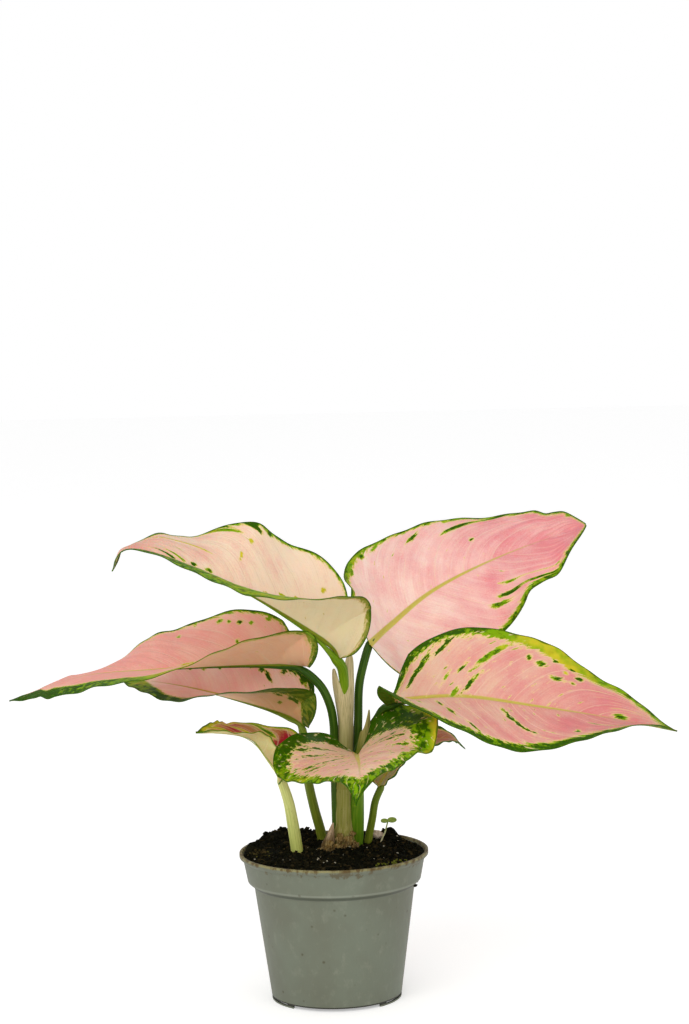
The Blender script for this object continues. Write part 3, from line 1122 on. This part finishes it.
def makeSoil():
    gap = potShape["wall"] + soilShape["gap"]
    low = potShape["channel"] + gap
    profile = [(potShape["disc"] - 1.6, gap), (potShape["disc"], low), (potShape["foot"] - gap - 0.4, low)]
    for name, rise in (("bodyTop", 1), ("bandFoot", 1), ("bandTop", -0.6)):
        radius, height = potShape[name]
        profile.append((radius - gap, height + rise))
    rings = soilShape["rings"]
    profile += [(soilShape["reach"] * (1 - i / rings), soilShape["edge"]) for i in range(rings)]
    piece = turnedPiece("pottingSoil", profile, soilShape["sides"])
    for vertex in piece.data.vertices:
        x, y, z = vertex.co / mm
        if z > soilShape["edge"] - 0.1:
            inside = min(1, (soilShape["reach"] + 0.01 - math.hypot(x, y)) / 2)
            vertex.co.z = (soilHeight(x, y) + soilGrain(x, y) * inside) * mm
    giveValues(piece, "shade", [(0, 0, 0)] * len(piece.data.vertices))
    dress(piece, "soil", "soil", skin=peat, angle=60)


def scatter(name, count, makeOne):  # many small pieces on the soil, joined into one
    clearSelection()
    parts = [makeOne(i) for i in range(count)]
    joined(parts, parts[0])
    dress(newest(name), "soil", angle=40)


def soilSpot(draw, reach=None):
    radius = (reach or soilShape["reach"] - 1.5) * math.sqrt(draw.random())
    angle = draw.uniform(0, 2 * math.pi)
    return radius * math.cos(angle), radius * math.sin(angle)


def placeCopy(source, spot, size, turn, shade):  # its own mesh, moved into place
    mesh = source.data.copy()
    mesh.transform(placing(spot, size, *turn))
    copy = bpy.data.objects.new("part", mesh)
    bpy.context.scene.collection.objects.link(copy)
    giveValues(copy, "shade", [shade] * len(mesh.vertices))
    return copy


def makeCrumb(seed, roughness=0.9):  # one lump of peat
    crumb = addLump(2, lambda spot: 1 + roughness * noise.noise(spot * 3.1 + Vector((seed, 0, 0))))
    crumb.data.materials.append(peat)
    return crumb


def makeCrumbs():
    draw = random.Random(soilShape["seed"])
    models = [makeCrumb(seed) for seed in (1.3, 5.1, 9.7, 14.2)]
    small, large = soilShape["crumbSizes"]
    dryX, dryY, dryReach = soilShape["dryPatch"]
    mossX, mossY, mossReach = soilShape["moss"]

    def crumb(i):
        x, y = soilSpot(draw)
        size = draw.uniform(*(small if draw.random() < soilShape["smallCrumbs"] else large))
        flat = draw.uniform(0.6, 1.0)
        shade = (draw.random() ** 5 * 0.7, 0, 0)
        if math.hypot(x - dryX, y - dryY) < dryReach and draw.random() < 0.5:
            shade = (draw.uniform(0.4, 0.9), 0, draw.uniform(0, 0.3))  # dry peat at the left
        if x > mossX and y < mossY and math.hypot(x, y) > mossReach and draw.random() < 0.7:
            shade = (0, 0, draw.uniform(0.3, 0.9))  # moss at the front right
        z = soilHeight(x, y) + soilGrain(x, y) + 0.18 * size
        turn = (draw.uniform(0, 6.28), draw.uniform(-0.7, 0.7))
        model = draw.choice(models)
        return placeCopy(model, (x, y, z), (size, size * draw.uniform(0.7, 1), size * flat), turn, shade)

    def grit(i):
        x, y = soilSpot(draw)
        size = draw.uniform(*soilShape["gritSizes"])
        z = soilHeight(x, y) + soilGrain(x, y) + 0.7
        model = draw.choice(models)
        return placeCopy(model, (x, y, z), (size, size, size * 0.8), (draw.random() * 6, 0.4), (0, 0.75, 0))

    def stuck(i):
        spot, size, turn = soilShape["stuck"][i]
        return placeCopy(models[i % 4], spot, size, (turn, 0.5), (0.1, 0, 0))

    scatter("soilCrumbs", soilShape["crumbs"], crumb)
    scatter("soilGrit", soilShape["grit"], grit)
    scatter("stuckBits", len(soilShape["stuck"]), stuck)
    for model in models:
        bpy.data.objects.remove(model)


def makeFibres():
    draw = random.Random(soilShape["seed"] + 1)

    def fibre(i):
        x, y = soilSpot(draw, soilShape["reach"] - 6)
        length = draw.uniform(*soilShape["fibreLengths"])
        angle = draw.uniform(0, 6.28)
        points = []
        for k in range(4):
            reach = (k / 3 - 0.5) * length
            bend = draw.uniform(-0.8, 0.8)
            px = x + reach * math.cos(angle) - bend * math.sin(angle)
            py = y + reach * math.sin(angle) + bend * math.cos(angle)
            points.append((px, py, soilHeight(px, py) + soilGrain(px, py) + 0.7 + draw.uniform(0, 0.8)))
        taper = lambda share: soilShape["fibreRadius"] * (1 - 0.6 * share)
        part = tubeAlong("part", lineThrough(points, 40), taper, 6, 10)
        giveValues(part, "shade", [(draw.uniform(0.2, 0.6), 0, 0)] * len(part.data.vertices))
        part.data.materials.append(peat)
        return part

    scatter("soilFibres", soilShape["fibres"], fibre)


makeSoil()
makeCrumbs()
makeFibres()
print("soil")


pebbleShape = {"centre": (27.3, 36, 95.6), "size": (10, 7, 6), "turn": 17, "rough": 0.18}
seedlingShape = {
    "stalk": [(30, 22, 88), (30.4, 22, 94), (33, 22, 100), (35, 22, 107)], "radii": (0.55, 0.5, 0.45),
    "leaves": [(-2.2, 2.4, 0.4), (2.7, 3.0, 0.8)],  # x from the top of the stalk, half length and rise
    "tilt": 40, "thickness": 0.4, "depth": 0.72, "dish": 0.12, "cells": 16,
    "stalkColours": ((206, 200, 160), (150, 170, 90), (180, 186, 130), (150, 150, 90)),
    "leafColours": ((130, 156, 62), (130, 156, 62), (164, 190, 96), (90, 130, 50)),
}


def makePebble():
    piece = addLump(4, lambda spot: 1 + pebbleShape["rough"] * noise.fractal(spot * 2.2, 1.0, 2.0, 3))
    piece.name = "pebbleStone"
    piece.data.transform(placing(pebbleShape["centre"], pebbleShape["size"], math.radians(pebbleShape["turn"])))
    material, shader = newMaterial("stone", 0.8, Specular_IOR_Level=0.1)
    grain = noiseOf(placeOf(shader), (600, 600, 600), 4, 0.6)
    connect(shader, blend(easeBetween(grain, 0.35, 0.65), (166, 146, 126), (216, 202, 186)), grain, 0.0004)
    dress(piece, "pebble", "pebble", skin=material)


def makeSeedling():
    p = seedlingShape
    stalk = tubeAlong("seedlingStalk", lineThrough(p["stalk"]), lambda share: between(p["radii"], share), 10, 30)
    dress(stalk, "seedling", "seedling", skin=stalkMaterial(
        "seedlingStalkSkin", p["stalkColours"], (0.4, 0.1), (6, 20), 0.5, 0.0002))
    top = Vector(p["stalk"][-1])
    tilt = math.radians(p["tilt"])
    for i, (shift, size, rise) in enumerate(p["leaves"]):
        leaf = sheetGrid(f"seedLeaf{i + 1}", p["cells"], p["cells"])
        values = []
        for vertex in leaf.data.vertices:
            x, y = vertex.co.x, vertex.co.y  # a square pulled round
            roundX, roundY = x * math.sqrt(1 - y * y / 2), y * math.sqrt(1 - x * x / 2)
            across = roundX * size
            deep = roundY * size * p["depth"]
            dish = p["dish"] * size * (roundX ** 2 + roundY ** 2)
            place = Vector((shift + across, deep * math.cos(tilt) - dish * math.sin(tilt),
                            rise + deep * math.sin(tilt) + dish * math.cos(tilt)))
            vertex.co = (top + place) * mm
            values.append((across, deep, 0))
        giveValues(leaf, "run", values)
        thicken(leaf, p["thickness"])
        dress(leaf, "seedling", skin=stalkMaterial(
            f"seedLeafSkin{i + 1}", p["leafColours"], (0.5, 0.2), (1, 2), 0.45, 0.0002))


makePebble()
makeSeedling()
print("pebble and seedling")
